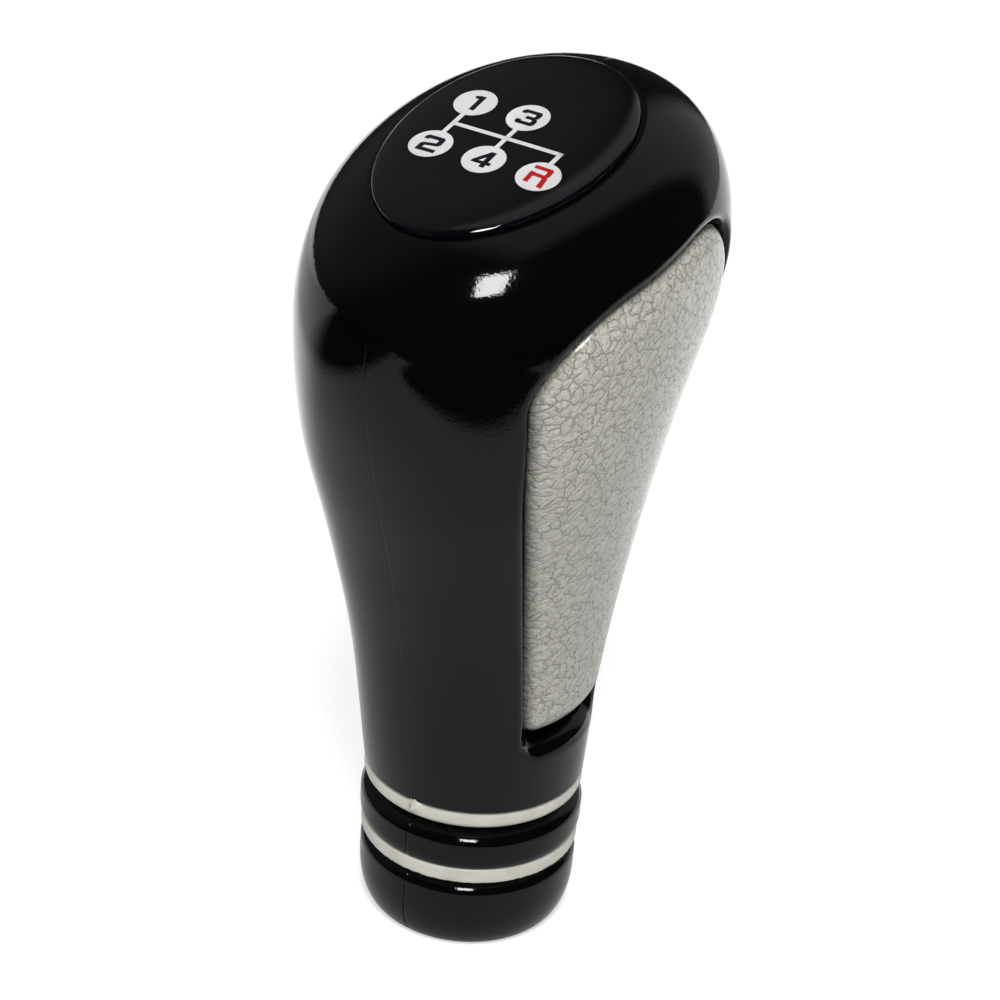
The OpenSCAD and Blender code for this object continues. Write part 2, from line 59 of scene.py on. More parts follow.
def makeCamera(view):
    az, el, roll = (math.radians(view[k]) for k in ("azimuth", "elevation", "roll"))
    back = Vector((math.sin(az) * math.cos(el), -math.cos(az) * math.cos(el), math.sin(el)))
    level = Vector((math.cos(az), math.sin(az), 0))
    upright = back.cross(level)
    right = level * math.cos(roll) + upright * math.sin(roll)
    up = upright * math.cos(roll) - level * math.sin(roll)
    aim = level * view["aimSide"] + Vector((0, 0, view["aimHeight"]))
    place = (aim + back * view["distance"]) * millimetre
    data = bpy.data.cameras.new("camera")
    data.lens = view["lens"]
    data.sensor_width = 36
    data.clip_start = 0.01
    data.clip_end = 20
    camera = bpy.data.objects.new("camera", data)
    bpy.context.scene.collection.objects.link(camera)
    camera.matrix_world = Matrix((
        (right.x, up.x, back.x, place.x),
        (right.y, up.y, back.y, place.y),
        (right.z, up.z, back.z, place.z),
        (0, 0, 0, 1),
    ))
    bpy.context.scene.camera = camera


makeCamera(cameraView)
print("stage: camera")


# the body's form, in millimetres, the same as in the CAD model
body = {
    "bottom": 20.8,  # height of the body's lower edge
    "halfWidths": (13.7, 15, 17.7, 20.8, 22.5),  # at equal steps up to the head
    "rears": (13.7, 17.1, 21.6, 26.2, 28.7),
    "fronts": (13.7, 14.5, 15.2, 18.6, 28.7),
    "headShare": 0.8,
    "shoulder": 2.9,
    "squareness": 0.25,
    "footPull": 0.4,
    "badgePull": 0.33,
    "eggShare": 0.6,
    "fairing": 0.03,  # spine share over which the stations are blended
}
badge = {
    "height": 101.5,
    "back": 3.2,
    "tilt": 17.5,
    "halfWidth": 13.3,
    "halfLength": 18.2,
    "egg": 0.04,
    "lip": 0.5,
    "seatDepth": 1.1,
    "plateThick": 0.8,
    "clear": 0.1,
}
recess = {
    "depth": 2.8,
    "foot": 7.7,
    "top": 8.6,
    "rails": (7.4, 6.8, 6.2, 6.3, 7.8),  # width of the black rail behind the panel, at the same steps
    "frontLow": 7.6,
    "frontHigh": 16.8,
    "frontSweep": 1.8,
    "footCorner": 2.0,
    "topCornerWidth": 13.0,
    "topCornerHeight": 10.0,
}

badgeUp = Vector((-math.sin(math.radians(badge["tilt"])), math.cos(math.radians(badge["tilt"]))))
badgeAt = Vector((-badge["back"], badge["height"]))
spineRise = badge["height"] - body["bottom"]
rimHalfWidth = badge["halfWidth"] + badge["lip"]
rimHalfLength = badge["halfLength"] + badge["lip"]


def ease(u):
    k = min(max(u, 0), 1)
    return k * k * (3 - 2 * k)


def mix(a, b, u):
    return a + (b - a) * u


def signedPower(v, e):
    return math.copysign(abs(v) ** e, v)


def spineAt(t):  # the curve up the middle of the body, as (y, z)
    a = Vector((0, body["bottom"]))
    b = a + Vector((0, body["footPull"] * spineRise))
    c = badgeAt - body["badgePull"] * spineRise * badgeUp
    return (1 - t) ** 3 * a + 3 * (1 - t) ** 2 * t * b + 3 * (1 - t) * t * t * c + t ** 3 * badgeAt


def tiltAt(t):
    return math.radians(badge["tilt"]) * ease((t - 0.05) / 0.9)


spineLength = (spineAt(0.5) - spineAt(0)).length + (spineAt(1) - spineAt(0.5)).length
panelTop = spineLength - recess["top"]


def belowHead(row, t):  # a smooth curve through five stations, flat at the head
    step = body["headShare"] / 4
    i = min(max(int(t / step), 0), 3)
    u = t / step - i
    slopes = [row[1] - row[0]] + [(row[k + 1] - row[k - 1]) / 2 for k in (1, 2, 3)] + [0]
    return mix(row[i], row[i + 1], ease(u)) + slopes[i] * u * (1 - u) ** 2 - slopes[i + 1] * u * u * (1 - u)


def stationReach(row, rim, t):
    if t <= body["headShare"]:
        return belowHead(row, t)
    u = min((t - body["headShare"]) / (1 - body["headShare"]), 1)
    k = (rim / row[4]) ** body["shoulder"]
    return row[4] * (1 - (1 - k) * u ** body["shoulder"]) ** (1 / body["shoulder"])


reachSteps = 1600


def fairReach(row, rim):  # the stations' curve, blended so that reflections run smoothly over it
    raw = np.array([stationReach(row, rim, i / reachSteps) for i in range(reachSteps + 1)])
    width = int(3 * body["fairing"] * reachSteps)
    weights = np.exp(-0.5 * (np.arange(-width, width + 1) / (body["fairing"] * reachSteps)) ** 2)
    padded = np.concatenate([np.full(width, raw[0]), raw, np.full(width, raw[-1])])
    smooth = np.convolve(padded, weights / weights.sum(), "valid")
    share = np.array([ease((i / reachSteps - 0.02) / 0.1) * (1 - ease((i / reachSteps - 0.87) / 0.09))
                      for i in range(reachSteps + 1)])
    return (raw + (smooth - raw) * share).tolist()


reachTables = {
    "side": (fairReach(body["halfWidths"], rimHalfWidth), rimHalfWidth),
    "rear": (fairReach(body["rears"], rimHalfLength), rimHalfLength),
    "front": (fairReach(body["fronts"], rimHalfLength), rimHalfLength),
}


def reach(name, t):
    table, rim = reachTables[name]
    if t >= 1:  # the flat lip round the badge
        return rim - (t - 1) * spineLength
    place = max(t, 0) * reachSteps
    i = min(int(place), reachSteps - 1)
    return mix(table[i], table[i + 1], place - i)


def bodyPoint(t, angle):  # angle 0 is the front, 180 the rear
    e = 2 / (2 + body["squareness"] * math.sin(math.radians(180 * min(t, 1))))
    a = math.radians(angle)
    w = signedPower(math.cos(a), e)
    front, rear = reach("front", t), reach("rear", t)
    egg = badge["egg"] * ease((t - body["eggShare"]) / (1 - body["eggShare"]))
    x = reach("side", t) * signedPower(math.sin(a), e) * (1 + egg * w)
    y = (front - rear) / 2 + (front + rear) / 2 * w
    p, tilt = spineAt(min(t, 1)), tiltAt(min(t, 1))
    return Vector((x, p.x + y * math.cos(tilt), p.y + y * math.sin(tilt)))


def skin(t, angle, inset):  # the same point moved in along the surface's normal
    p = bodyPoint(t, angle)
    if inset == 0:
        return p
    up = bodyPoint(min(t + 0.002, 1), angle) - bodyPoint(max(t - 0.002, 0), angle)
    around = bodyPoint(t, angle + 1) - bodyPoint(t, angle - 1)
    return p - inset * up.cross(around).normalized()


def angleAt(t, y):  # the angle at which a section is y ahead of the spine
    front, rear = reach("front", t), reach("rear", t)
    w = min(max((2 * y - front + rear) / (front + rear), -1), 1)
    return math.degrees(math.acos(signedPower(w, 1 + body["squareness"] * math.sin(math.radians(180 * t)) / 2)))


def onBody(s, y, inset):
    t = s / spineLength
    return skin(t, angleAt(t, y), inset)


def resample(points, shares):
    points = np.array(points)
    run = np.concatenate([[0], np.cumsum(np.linalg.norm(np.diff(points, axis=0), axis=1))])
    at = np.array(shares) * run[-1]
    return list(zip(np.interp(at, run, points[:, 0]).tolist(), np.interp(at, run, points[:, 1]).tolist()))


def even(count):
    return [i / count for i in range(count + 1)]


def crowded(count, pull):  # shares from 0 to 1, closer together at both ends
    return [i / count - pull * math.sin(2 * math.pi * i / count) / (2 * math.pi) for i in range(count + 1)]


# the recess's outline as four runs of (s, y), split at the middles of its corners:
# the foot, the front edge upwards, the top and the rear edge downwards
def recessSides(margin, footMargin, alongShares, acrossShares):
    foot, top = recess["foot"] + footMargin, panelTop - margin
    cornerR = max(recess["footCorner"] - margin, 0.2)
    topW, topH = recess["topCornerWidth"] - margin, recess["topCornerHeight"] - margin

    def rearEdge(s):
        t = s / spineLength
        return belowHead(recess["rails"], min(t, body["headShare"])) + margin - reach("rear", t)

    def frontEdge(s):
        share = max(s, 0) / panelTop
        return mix(recess["frontLow"], recess["frontHigh"], share ** recess["frontSweep"]) - margin

    def arc(edge, sign, start, end, base, width, height, count):
        run = []
        for a in np.linspace(math.radians(start), math.radians(end), count).tolist():
            s = base - height * (1 - math.sin(a))
            run.append((s, edge(s) + sign * width * (1 - math.cos(a))))
        return run

    def footArc(edge, sign, start, end):
        return arc(edge, sign, start, end, foot, cornerR, -cornerR, 12)

    def topArc(edge, sign, start, end):
        return arc(edge, sign, start, end, top, topW, topH, 30)

    heights = np.linspace(foot + cornerR, top - topH, 80)[1:-1].tolist()
    footRun = footArc(rearEdge, 1, 45, 90) + footArc(frontEdge, -1, 90, 45)
    frontRun = footArc(frontEdge, -1, 45, 0) + [(s, frontEdge(s)) for s in heights] + topArc(frontEdge, -1, 0, 45)
    topRun = topArc(frontEdge, -1, 45, 90) + topArc(rearEdge, 1, 90, 45)
    rearRun = topArc(rearEdge, 1, 45, 0) + [(s, rearEdge(s)) for s in heights[::-1]] + footArc(rearEdge, 1, 0, 45)
    return (resample(footRun, acrossShares[0]), resample(frontRun, alongShares),
            resample(topRun, acrossShares[1]), resample(rearRun, alongShares))


def newVerts(made):
    return [g for g in made["geom"] if isinstance(g, bmesh.types.BMVert)]


def roundEdges(bm, edges, size, steps):
    bmesh.ops.bevel(bm, geom=edges, offset=size, offset_type="OFFSET", affect="EDGES", segments=steps,
                    profile=0.5, material=-1, clamp_overlap=True)


def loopOf(bm, points, **settings):  # a closed loop of edges through the points
    made = bmesh.ops.create_circle(bm, segments=len(points), radius=1, **settings)
    for v, point in zip(made["verts"], points):
        v.co = point
    return made["verts"]


def mirror(bm):
    bmesh.ops.scale(bm, vec=(-1, 1, 1), verts=bm.verts)


def toObject(bm, name):
    mesh = bpy.data.meshes.new(name)
    bm.to_mesh(mesh)
    bm.free()
    piece = bpy.data.objects.new(name, mesh)
    bpy.context.scene.collection.objects.link(piece)
    return piece


def finish(bm, name, material, node=None, sharpAngle=None):
    bmesh.ops.recalc_face_normals(bm, faces=bm.faces[:])
    bmesh.ops.scale(bm, vec=(millimetre,) * 3, verts=bm.verts)
    piece = toObject(bm, name)
    piece.data.shade_smooth()
    if sharpAngle:
        piece.data.set_sharp_from_angle(angle=math.radians(sharpAngle))
    piece.data.materials.append(material)
    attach(piece, "root")
    if node:
        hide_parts(node)
    return piece


# materials: inputs are written in where they are numbers and linked where they are sockets
def plug(tree, node, values):
    for key, value in values.items():
        if isinstance(value, bpy.types.NodeSocket):
            tree.links.new(value, node.inputs[key])
        else:
            node.inputs[key].default_value = value


def addNode(tree, kind, values=None, **settings):
    count = len(tree.nodes)
    node = tree.nodes.new("ShaderNode" + kind)
    node.location = (count % 8 * 220 - 2200, -count // 8 * 300)
    for key, value in settings.items():
        setattr(node, key, value)
    plug(tree, node, values or {})
    return node


def mathNode(tree, operation, a, b, clamp=False):
    return addNode(tree, "Math", {0: a, 1: b}, operation=operation, use_clamp=clamp).outputs[0]


def mapRange(tree, value, low, high, to=(0, 1), kind="LINEAR"):
    values = {"Value": value, "From Min": low, "From Max": high, "To Min": to[0], "To Max": to[1]}
    return addNode(tree, "MapRange", values, interpolation_type=kind).outputs["Result"]


softRange = partial(mapRange, kind="SMOOTHSTEP")


def dotNode(tree, vector, direction):
    return addNode(tree, "VectorMath", {0: vector, 1: direction}, operation="DOT_PRODUCT").outputs["Value"]


def noiseNode(tree, vector, scale, detail, **settings):
    values = {"Vector": vector, "Scale": scale, "Detail": detail}
    return addNode(tree, "TexNoise", values, **settings).outputs["Fac"]


def mixColour(tree, share, a, b):
    return addNode(tree, "Mix", {"Factor": share, "A": a, "B": b}, data_type="RGBA").outputs["Result"]


def bumpNode(tree, height, depth):
    return addNode(tree, "Bump", {"Height": height, "Distance": depth}).outputs["Normal"]


def coordsOf(tree, kind):
    return addNode(tree, "TexCoord").outputs[kind]


def newMaterial(name, values):
    material = bpy.data.materials.new(name)
    material.use_nodes = True
    shader = material.node_tree.nodes["Principled BSDF"]
    plug(material.node_tree, shader, values)
    return material, material.node_tree, shader


def newGroup(name, inputs, outputs):
    group = bpy.data.node_groups.new(name, "ShaderNodeTree")
    for key, value in inputs.items():
        kind = "NodeSocketVector" if isinstance(value, tuple) else "NodeSocketFloat"
        group.interface.new_socket(key, in_out="INPUT", socket_type=kind).default_value = value
    for key in outputs:
        group.interface.new_socket(key, in_out="OUTPUT", socket_type="NodeSocketFloat")
    start, end = group.nodes.new("NodeGroupInput"), group.nodes.new("NodeGroupOutput")
    start.location, end.location = (-2500, 0), (-300, 0)
    return group, start.outputs, end


def makeOrangePeel():  # the slow waviness and fine dust of a moulded gloss surface
    group, given, end = newGroup("orangePeel", {"Scale": 400.0, "Fine": 0.15}, ("Height", "Dust"))
    at = coordsOf(group, "Object")
    slow = noiseNode(group, at, given["Scale"], 1.0)
    quick = noiseNode(group, at, mathNode(group, "MULTIPLY", given["Scale"], 5.0), 2.0)
    height = addNode(group, "Math", {0: quick, 1: given["Fine"], 2: slow}, operation="MULTIPLY_ADD")
    specks = addNode(group, "TexVoronoi", {"Vector": at, "Scale": 900.0}).outputs["Distance"]
    patches = noiseNode(group, at, 500.0, 2.0)
    dust = mathNode(group, "MULTIPLY", mapRange(group, specks, 0.11, 0.04),
                    mapRange(group, patches, 0.6, 0.72))
    plug(group, end, {"Height": height.outputs[0], "Dust": dust})
    return group


orangePeel = makeOrangePeel()


def addPeel(tree, shader, look):
    peel = addNode(tree, "Group", node_tree=orangePeel)
    plug(tree, peel, {"Scale": look["peelScale"], "Fine": look["peelFine"]})
    plug(tree, shader, {"Normal": bumpNode(tree, peel.outputs["Height"], look["peelDepth"])})
    return peel.outputs["Dust"]


def glossPlastic(name, look):
    material, tree, shader = newMaterial(name, {
        "Base Color": look["colour"], "Roughness": look["roughness"],
        "IOR": look["ior"], "Specular IOR Level": look["specular"],
    })
    dust = addPeel(tree, shader, look)
    rough = mapRange(tree, dust, 0, 1, (look["roughness"], look["dustRoughness"]))
    plug(tree, shader, {"Roughness": rough})
    return material


pianoBlackLook = {
    "colour": (0.0013, 0.0012, 0.0013, 1),
    "roughness": 0.06,
    "dustRoughness": 0.35,
    "ior": 1.45,
    "specular": 0.28,
    "peelScale": 450.0,
    "peelFine": 2.6,
    "peelDepth": 0.0000042,
}
pianoBlack = glossPlastic("pianoBlackPlastic", pianoBlackLook)


# the body halves
half = {
    "footColumns": 64,
    "sideColumns": 120,
    "topColumns": 88,
    "rings": 30,
    "rimRound": 0.85,  # round of the recess's rim, mm
    "lipRun": 1.9,  # height of the sloping lip at the recess's foot, mm
    "lipDrop": 2.3,
    "floorRun": 2.7,
    "boreR": 8.65,
    "boreTop": 46.05,
    "seamRound": 0.2,
    "hemRound": 0.6,
    "hemSteps": 5,
}


def lengthShares(angle, count):  # shares of the spine at even steps along the parting line
    steps = 600
    points = [bodyPoint(i / steps, angle) for i in range(steps + 1)]
    run = np.concatenate([[0], np.cumsum([(b - a).length for a, b in zip(points, points[1:])])])
    return np.interp(np.linspace(0, run[-1], count + 1), run, np.linspace(0, 1, steps + 1)).tolist()


def joinRuns(runs):
    points = []
    for run in runs:
        points.extend(tuple(p) for p in run[:-1])
    points.append(tuple(runs[0][0]))
    return points


def halfRings(look):
    side, foot, top = look["sideColumns"], look["footColumns"], look["topColumns"]
    shares = (even(side), (even(foot), even(top)))
    border = joinRuns((
        [(0, 180 * (1 - u)) for u in even(foot)],
        [(t * spineLength, 0) for t in lengthShares(0, side)],
        [(spineLength, 180 * u) for u in even(top)],
        [(t * spineLength, 180) for t in lengthShares(180, side)[::-1]],
    ))
    slope = []  # how much of the lip's slope each column has: all of it along the foot, none up the sides
    for i in range(len(border)):
        beside = min(abs(i - foot / 2), abs(len(border) - 1 + foot / 2 - i))
        slope.append(1 - ease((beside - foot / 2 + 2) / 12))
    edge = joinRuns(recessSides(-look["rimRound"], -look["lipRun"], *shares))
    edgeAngles = [angleAt(s / spineLength, y) for s, y in edge]
    rows = []
    for u in crowded(look["rings"], 0.75):
        row = []
        for (sA, aA), (sB, _), aB in zip(border, edge, edgeAngles):
            row.append(skin(mix(sA, sB, u) / spineLength, mix(aA, aB, u), 0))
        rows.append(row)
    for k in range(1, 9):
        a = math.radians(90 * k / 8)
        out = math.sin(a) - 1
        line = joinRuns(recessSides(look["rimRound"] * out, look["lipRun"] * out, *shares))
        rows.append([onBody(s, y, mix(look["rimRound"], look["lipDrop"], w) * (1 - math.cos(a)))
                     for (s, y), w in zip(line, slope)])
    line = joinRuns(recessSides(0, 0, *shares))
    for share in (0.5, 0.9, 1):
        rows.append([onBody(s, y, mix(mix(look["rimRound"], look["lipDrop"], w), recess["depth"], share))
                     for (s, y), w in zip(line, slope)])
    for run in (0.15, 0.6, 1.3, 2.0, look["floorRun"]):
        line = joinRuns(recessSides(run, run, *shares))
        rows.append([onBody(s, y, recess["depth"]) for s, y in line])
    return rows


def badgePoint(x, y, z):
    c, s = math.cos(math.radians(badge["tilt"])), math.sin(math.radians(badge["tilt"]))
    return Vector((x, badgeAt.x + y * c - z * s, badgeAt.y + y * s + z * c))


def badgeEdge(angle, grow):  # a point of the badge's outline, by its angle from the front
    return ((badge["halfWidth"] + grow) * math.sin(angle) * (1 + badge["egg"] * math.cos(angle)),
            (badge["halfLength"] + grow) * math.cos(angle))


def pullEdge(bm, chain, places):  # extrudes a chain of edges and moves what it makes
    edges = [bm.edges.get((a, b)) for a, b in zip(chain, chain[1:])]
    fresh = newVerts(bmesh.ops.extrude_edge_only(bm, edges=edges))
    ordered = []
    for old in chain:
        ends = (e.other_vert(old) for e in old.link_edges if e.other_vert(old) in fresh)
        ordered.append(min(ends, key=lambda v: (v.co - old.co).length))
    for v, place in zip(ordered, places):
        v.co = place
    return ordered


def makeHalf(name, look, mirrored, node):
    rows = halfRings(look)
    columns = len(rows[0]) - 1
    bm = bmesh.new()
    bmesh.ops.create_grid(bm, x_segments=columns, y_segments=len(rows) - 1, size=0.5)
    for v in bm.verts:
        v.co = rows[round((v.co.y + 0.5) * (len(rows) - 1))][round((v.co.x + 0.5) * columns)]
    bmesh.ops.remove_doubles(bm, verts=[v for v in bm.verts if v.is_boundary], dist=1e-5)

    def rounded(place):
        return tuple(round(c, 4) for c in place)

    byPlace = {rounded(v.co): v for v in bm.verts if v.is_boundary}

    def found(row, i):
        return byPlace[rounded(rows[row][i % columns])]

    bm.faces.new([found(-1, i) for i in range(columns)])  # the recess's floor, behind the panel
    foot, side, top = look["footColumns"], look["sideColumns"], look["topColumns"]
    bottom = [found(0, i) for i in range(foot + 1)]
    ring = [Vector((v.co.x, v.co.y, 0)).normalized() * look["boreR"] + Vector((0, 0, body["bottom"])) for v in bottom]
    hem = pullEdge(bm, bottom, ring)
    bore = pullEdge(bm, hem, [Vector((p.x, p.y, look["boreTop"])) for p in ring])
    bm.faces.new(bore)
    rim = [found(0, i) for i in range(foot + side, foot + side + top + 1)]
    angles = [math.pi * u for u in even(top)]
    lip = pullEdge(bm, rim, [badgePoint(*badgeEdge(a, 0), 0) for a in angles])
    seat = pullEdge(bm, lip, [badgePoint(*badgeEdge(a, 0), -badge["seatDepth"]) for a in angles])
    bm.faces.new(seat)
    hemEdges = [bm.edges.get((a, b)) for a, b in zip(bottom, bottom[1:])]
    bmesh.ops.holes_fill(bm, edges=[e for e in bm.edges if e.is_boundary], sides=0)
    bmesh.ops.recalc_face_normals(bm, faces=bm.faces[:])
    roundEdges(bm, hemEdges, look["hemRound"], look["hemSteps"])
    seam = [e for e in bm.edges if onParting(e) and e.verts[0].co.z > body["bottom"] + 0.5 and outside(e)]
    roundEdges(bm, seam, look["seamRound"], 2)
    if mirrored:
        mirror(bm)
    return finish(bm, name, pianoBlack, node, sharpAngle=40)


def onParting(edge):
    return len(edge.link_faces) == 2 and all(abs(v.co.x) < 1e-4 for v in edge.verts)


def outside(edge):  # on the body's outer parting line, and not in its bore or badge seat
    middle = (edge.verts[0].co + edge.verts[1].co) / 2
    local = middle - badgePoint(0, 0, 0)
    tilt = math.radians(badge["tilt"])
    ahead = local.y * math.cos(tilt) + local.z * math.sin(tilt)
    above = -local.y * math.sin(tilt) + local.z * math.cos(tilt)
    inSeat = abs(ahead) < badge["halfLength"] + 0.2 and above > -badge["seatDepth"] - 0.2
    inBore = abs(middle.y) < half["boreR"] + 0.2 and middle.z < half["boreTop"] + 0.2
    return not inSeat and not inBore


rightBody = makeHalf("rightBody", half, False, "right_shell")
makeHalf("leftBody", half, True, "left_shell")
print("stage: body halves", len(rightBody.data.polygons))


# the neck: base collar, bead and the grooves between them
neck = {
    "collarR": 13.6,
    "collarHeight": 10.4,
    "collarFoot": (2.7, 6.3),  # how far it draws in, over what height
    "collarShoulder": (4.5, 2.0),  # a shoulder that slopes in until the groove cuts it
    "beadR": 13.9,
    "beadBottom": 12.5,
    "beadTop": 18.4,
    "beadFoot": (0.5, 1.5),
    "beadShoulder": (8.0, 2.6),
    "grooveR": 12.0,
    "grooveTop": 22.3,
    "arcSteps": 20,
    "turnSteps": 144,
    "grubHeight": 5.2,
    "grubAngle": 45,  # degrees from the front
    "grubBoreR": 2.55,
}


def edgeArc(r, z, draw, start, steps, turn=90):  # an edge that draws in, as (radius, height)
    angles = [math.radians(start + turn * i / steps) for i in range(steps + 1)]
    return [(r - draw[0] + draw[0] * math.cos(a), z + draw[1] * math.sin(a)) for a in angles]


def shoulderArc(r, top, draw, cutR, steps):  # the same for a shoulder, as far in as the groove
    turn = math.degrees(math.acos((draw[0] - r + cutR) / draw[0]))
    return edgeArc(r, top - draw[1], draw, 0, steps, turn)


def spinProfile(points, degrees, steps, closed):  # (radius, height) points, starting behind the axis
    bm = bmesh.new()
    loopOf(bm, [(0, -r, z) for r, z in points])
    bmesh.ops.spin(bm, geom=bm.verts[:] + bm.edges[:], cent=(0, 0, 0), axis=(0, 0, 1),
                   angle=math.radians(degrees), steps=steps, use_merge=closed)
    return bm


def neckProfile(look):
    grooveR = look["grooveR"]
    points = [(half["boreR"], 0)]
    for name, bottom, top in (("collar", 0, look["collarHeight"]), ("bead", look["beadBottom"], look["beadTop"])):
        r, foot = look[name + "R"], look[name + "Foot"]
        if bottom:
            points += [(grooveR, bottom)]
        points += edgeArc(r, bottom + foot[1], foot, -90, look["arcSteps"])
        points += shoulderArc(r, top, look[name + "Shoulder"], grooveR, look["arcSteps"])
    return points + [(grooveR, look["grooveTop"]), (half["boreR"], look["grooveTop"])]


def cutGrubBore(piece, look, side):  # the threaded hole in the collar, made with a boolean and kept in the mesh
    turn = math.radians(look["grubAngle"])
    outward = Vector((side * math.sin(turn), math.cos(turn), 0))
    middle = outward * 14 + Vector((0, 0, look["grubHeight"]))
    bm = bmesh.new()
    place = Matrix.Translation(middle) @ outward.to_track_quat("Z", "Y").to_matrix().to_4x4()
    bmesh.ops.create_cone(bm, cap_ends=True, segments=48, radius1=look["grubBoreR"], radius2=look["grubBoreR"],
                          depth=12, matrix=place)
    bmesh.ops.scale(bm, vec=(millimetre,) * 3, verts=bm.verts)
    cutter = toObject(bm, "grubCutter")
    cut = piece.modifiers.new("grubBore", "BOOLEAN")
    cut.operation = "DIFFERENCE"
    cut.solver = "EXACT"
    cut.object = cutter
    whole, spare = piece.data, cutter.data
    piece.data = bpy.data.meshes.new_from_object(piece.evaluated_get(bpy.context.evaluated_depsgraph_get()))
    piece.modifiers.remove(cut)
    piece.data.name = piece.name
    bpy.data.objects.remove(cutter)
    for mesh in (whole, spare):
        bpy.data.meshes.remove(mesh)


def makeNeckHalf(name, look, mirrored):
    bm = spinProfile(neckProfile(look), 180, look["turnSteps"], False)
    bmesh.ops.holes_fill(bm, edges=[e for e in bm.edges if e.is_boundary], sides=0)
    bmesh.ops.recalc_face_normals(bm, faces=bm.faces[:])
    seam = [e for e in bm.edges if onParting(e) and e.verts[0].co.xy.length > half["boreR"] + 0.1]
    roundEdges(bm, seam, half["seamRound"], 2)
    if mirrored:
        mirror(bm)
    piece = finish(bm, name, pianoBlack, "left_shell" if mirrored else "right_shell", sharpAngle=35)
    cutGrubBore(piece, look, -1 if mirrored else 1)


makeNeckHalf("rightNeck", neck, False)
makeNeckHalf("leftNeck", neck, True)
print("stage: neck")


# the two rings
rubberLook = {
    "colour": (0.58, 0.57, 0.505, 1),
    "dark": (0.49, 0.48, 0.42, 1),
    "roughness": 0.38,
    "mottle": 260.0,
    "mottleRange": (0.35, 0.62),
    "grain": 3000.0,
    "grainDepth": 0.00001,
}


def makeRubber(name, look):
    material, tree, shader = newMaterial(name, {"Roughness": look["roughness"], "IOR": 1.45})
    at = coordsOf(tree, "Object")
    share = mapRange(tree, noiseNode(tree, at, look["mottle"], 4.0), *look["mottleRange"])
    plug(tree, shader, {
        "Base Color": mixColour(tree, share, look["dark"], look["colour"]),
        "Normal": bumpNode(tree, noiseNode(tree, at, look["grain"], 2.0), look["grainDepth"]),
    })
    return material


greyRubber = makeRubber("greyRubber", rubberLook)

rings = {
    "lowerBottom": 10.4,
    "lowerTop": 12.5,
    "upperBottom": 18.4,
    "upperTop": 20.8,
    "innerR": 12.05,
    "outerR": 13.65,
    "lowerRound": 0.4,
    "upperRound": 0.9,
    "turnSteps": 360,
    "lowerRagged": 0.16,  # how far the lower ring's lower edge wanders, mm
    "upperRagged": 0.04,
    "raggedRun": 1.6,
    "lowerBurr": 0,
    "upperBurr": 1.15,  # size of the upper ring's moulding burr, mm
    "burrAt": 3.2,  # degrees from the rear
    "burrSpread": 2.8,
}


def makeRing(which, look):
    bottom, top, e, ragged, burr = (look[which + key] for key in ("Bottom", "Top", "Round", "Ragged", "Burr"))
    points = [(look["innerR"], bottom)]
    points += edgeArc(look["outerR"], bottom + e, (e, e), -90, 6)
    points += [(look["outerR"], mix(bottom + e, top - e, 0.5))]
    points += edgeArc(look["outerR"], top - e, (e, e), 0, 6)
    points += [(look["innerR"], top)]
    bm = spinProfile(points, 360, look["turnSteps"], True)
    for v in bm.verts:
        if v.co.xy.length > look["innerR"] + 0.3:
            share = 1 - ease((v.co.z - bottom) / (top - bottom) * look["raggedRun"])
            turn = Vector((v.co.x, v.co.y, 0)).normalized()
            rough = noise.noise(turn * 22) * 0.6 + noise.noise(turn * 60) * 0.4
            v.co.z += max(rough, -0.2) * ragged * share
            v.co -= turn * abs(noise.noise(turn * 40 + Vector((3, 1, 2)))) * ragged * share * 0.8
            aside = (math.degrees(math.atan2(turn.x, -turn.y)) - look["burrAt"]) / look["burrSpread"]
            torn = burr * (0.75 + noise.noise(turn * 55 + Vector((0, 0, v.co.z))))
            torn *= math.exp(-aside * aside) * ease((v.co.z - bottom) / (top - bottom))
            v.co += (turn + Vector((0, 0, 0.3))) * torn
    finish(bm, which + "Ring", greyRubber, which + "_ring", sharpAngle=60)


makeRing("lower", rings)
makeRing("upper", rings)
print("stage: rings")


# the leather side panels
panel = {
    "gap": 0.45,
    "footGap": 1.7,
    "proud": 0.1,
    "edgeDrop": 1.8,
    "edgeWidth": 4.2,
    "backInset": 2.7,
    "columns": 72,
    "rows": 132,
}

leatherLook = {
    "colour": (0.43, 0.42, 0.37, 1),
    "pale": (0.49, 0.48, 0.43, 1),
    "crease": (0.2, 0.19, 0.16, 1),
    "edge": (0.15, 0.145, 0.125, 1),  # painted shade where the leather turns down beside the rim
    "edgeShadeFrom": 0.72,
    "edgeShadeMost": 0.85,
    "roughness": 0.36,
    "creaseRoughness": 0.7,
    "coat": 0.45,
    "coatRoughness": 0.12,
    "turn": 44.0,  # degrees by which the grain leans
    "stretch": 1.15,
    "cells": 0.8,  # per mm
    "depth": 0.00017,
}


